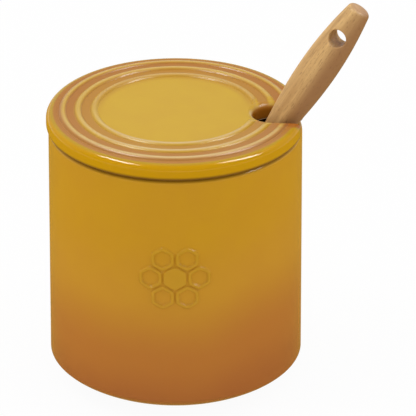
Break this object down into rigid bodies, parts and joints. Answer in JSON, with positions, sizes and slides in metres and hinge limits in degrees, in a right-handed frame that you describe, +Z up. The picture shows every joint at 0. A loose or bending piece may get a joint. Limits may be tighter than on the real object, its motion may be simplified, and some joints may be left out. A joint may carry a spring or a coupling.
{
  "type": "honey pot",
  "caption": "Glazed stoneware honey jar with a ringed lift-off lid, notched at the rim for the wooden-handled dipper that stands in it.",
  "frame": {"origin": "on the pot's axis, on the surface that its foot stands on", "axes": "+Z up along the pot's axis, the raised honeycomb facing -Y, the lid's notch and the dipper's handle towards +X"},
  "size_m": [0.1264, 0.1018, 0.1608],
  "materials": {
    "pot_glaze": "glossy glaze, golden yellow at the top, burnt orange at the bottom",
    "lid_glaze": "glossy glaze, paler on the raised rings, orange between them",
    "beech": "oiled beech",
    "core_nylon": "plain",
    "silicone": "satin"
  },
  "bodies": {
    "pot": {"pot": "pot_glaze"},
    "dipper": {"dipper_handle": "beech", "dipper_core": "core_nylon", "dipper_head": "silicone"},
    "lid": {"lid": "lid_glaze"}
  },
  "joints": [
    {"name": "dipper_lift", "type": "slide", "parent": "pot", "child": "dipper", "axis": [0, 0, 1], "range_m": [0, 0.11]},
    {"name": "lid_lift", "type": "slide", "parent": "dipper", "child": "lid", "axis": [0, 0, 1], "range_m": [0, 0.07]}
  ]
}
